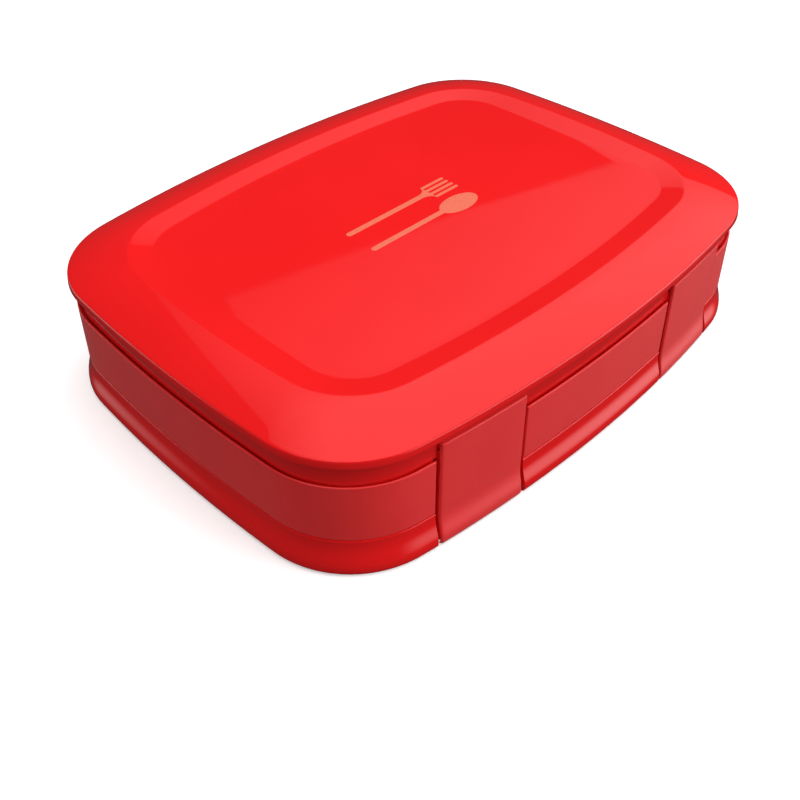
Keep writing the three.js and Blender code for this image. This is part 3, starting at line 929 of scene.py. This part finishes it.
class World:
    """Node helper for brightness that depends on direction alone."""

    def __init__(self):
        world = bpy.data.worlds.new("studio")
        world.use_nodes = True
        bpy.context.scene.world = world
        self.tree = world.node_tree
        self.direction = self.tree.nodes.new("ShaderNodeTexCoord").outputs["Generated"]
        self.background = self.tree.nodes["Background"]

    def math(self, operation, first, second):
        node = self.tree.nodes.new("ShaderNodeMath")
        node.operation = operation
        for socket, value in zip(node.inputs, (first, second)):
            if isinstance(value, (int, float)):
                socket.default_value = value
            else:
                self.tree.links.new(value, socket)
        return node.outputs["Value"]

    def beyond(self, normal, start, end, low=0.0, smooth=True):
        """Rises from low to 1 across the plane through the eye with this normal."""
        dot = self.tree.nodes.new("ShaderNodeVectorMath")
        dot.operation = "DOT_PRODUCT"
        dot.inputs[1].default_value = normal
        self.tree.links.new(self.direction, dot.inputs[0])
        step = self.tree.nodes.new("ShaderNodeMapRange")
        step.interpolation_type = "SMOOTHSTEP" if smooth else "LINEAR"
        step.inputs["From Min"].default_value = start
        step.inputs["From Max"].default_value = end
        step.inputs["To Min"].default_value = low
        self.tree.links.new(dot.outputs["Value"], step.inputs["Value"])
        return step.outputs["Result"]

    def product(self, factors):
        total = factors[0]
        for factor in factors[1:]:
            total = self.math("MULTIPLY", total, factor)
        return total


def build_world():
    """Dim room with a large graded soft panel overhead and two low strips at the sides."""
    world = World()
    rear_edge = (-0.14, -0.785, 1.0)
    left_edge = (0.2795, -0.3299, 0.28)
    front_edge = (0.0, 1.0, 1.0)
    overhead = world.product([
        world.beyond(rear_edge, -0.004, 0.004),
        world.beyond(rear_edge, 0.0, 0.5, 0.3, False),
        world.beyond(left_edge, -0.003, 0.003),
        world.beyond(left_edge, 0.0, 0.2, 0.3, False),
        world.beyond(front_edge, -0.05, 0.2),
        world.beyond((0, 0, 1), 0.0, 0.12),
    ])
    sides = world.math("ADD", world.beyond((0.64, -0.77, 0), 0.65, 0.97),
                       world.product([world.beyond((-0.45, 0.89, 0), 0.8, 0.95), 0.6]))
    low = world.product([
        world.beyond((0, 0, 1), -0.54, -0.36),
        world.beyond((0, 0, -1), 0.0, 0.1),
    ])
    lit = world.math("ADD", world.math("MULTIPLY", overhead, 1.15), world.product([sides, low, 1.8]))
    total = world.math("ADD", lit, 0.05)
    world.tree.links.new(total, world.background.inputs["Strength"])
    world.background.inputs["Color"].default_value = (1, 1, 1, 1)


def soft_light(name, location, aim, size, power):
    """Round lamp that lights matt surfaces; what polished ones mirror is the world."""
    light = bpy.data.lights.new(name, "AREA")
    light.shape = "DISK"
    light.size = size
    light.energy = power
    lamp = bpy.data.objects.new(name, light)
    bpy.context.scene.collection.objects.link(lamp)
    lamp.location = location
    direction = Vector(aim) - Vector(location)
    lamp.rotation_euler = direction.to_track_quat("-Z", "Y").to_euler()
    lamp.visible_glossy = False
    lamp.visible_camera = False
    return lamp


def build_camera():
    """Camera at the photograph's angle and distance."""
    azimuth, elevation = math.radians(-45.11), math.radians(38.12)
    distance = 0.3614
    aim = Vector((-0.0191, -0.01173, 0.0172))
    back = Vector((math.sin(azimuth) * math.cos(elevation), -math.cos(azimuth) * math.cos(elevation),
                   math.sin(elevation)))
    right = Vector((math.cos(azimuth), math.sin(azimuth), 0))
    up = back.cross(right)
    camera = bpy.data.objects.new("camera", bpy.data.cameras.new("camera"))
    bpy.context.scene.collection.objects.link(camera)
    turn = Matrix((right, up, back)).transposed().to_4x4()
    camera.matrix_world = Matrix.Translation(aim + back * distance) @ turn
    camera.data.lens = 47.13
    camera.data.sensor_width = 36.0
    camera.data.shift_x = -0.00376
    camera.data.shift_y = -0.09125
    camera.data.clip_start = 0.01
    bpy.context.scene.camera = camera


# ------------------------------------------------------------------ scene
materials = {"gloss": gloss_plastic(), "grip": rubber(), "steel": steel()}
build_tub(materials["gloss"])
build_bands(materials["grip"])
build_lid(materials["gloss"])
build_tray(tray_plastic())
build_seal(silicone())
build_inner_panel(liner_plastic())
mirrored(lambda sign, side: build_latch(sign, side, materials))
mirrored(lambda sign, side: build_hinge(sign, side, materials))
print_ink = ink()
print_on_lid("printed_fork", fork_outline(50.0, (11.0, 1.3, 1.1), 1.1), (-27.0, 6.5), print_ink)
print_on_lid("printed_spoon", spoon_outline(50.0, (8.5, 4.6), 1.1), (-27.0, -5.5), print_ink)

build_floor()
build_world()
soft_light("overhead", (0.0, -0.1, 1.6), (0, 0, 0), 1.4, 8.0)
soft_light("front_right", (0.7, -1.3, 0.6), (0, 0, 0.02), 1.0, 12.6)
soft_light("left_fill", (-1.5, -0.2, 0.6), (0, 0, 0.02), 1.2, 6.4)
soft_light("right_fill", (1.5, 0.25, 0.8), (0, 0, 0.02), 1.0, 4)
build_camera()
bpy.context.scene.view_settings.view_transform = "Standard"
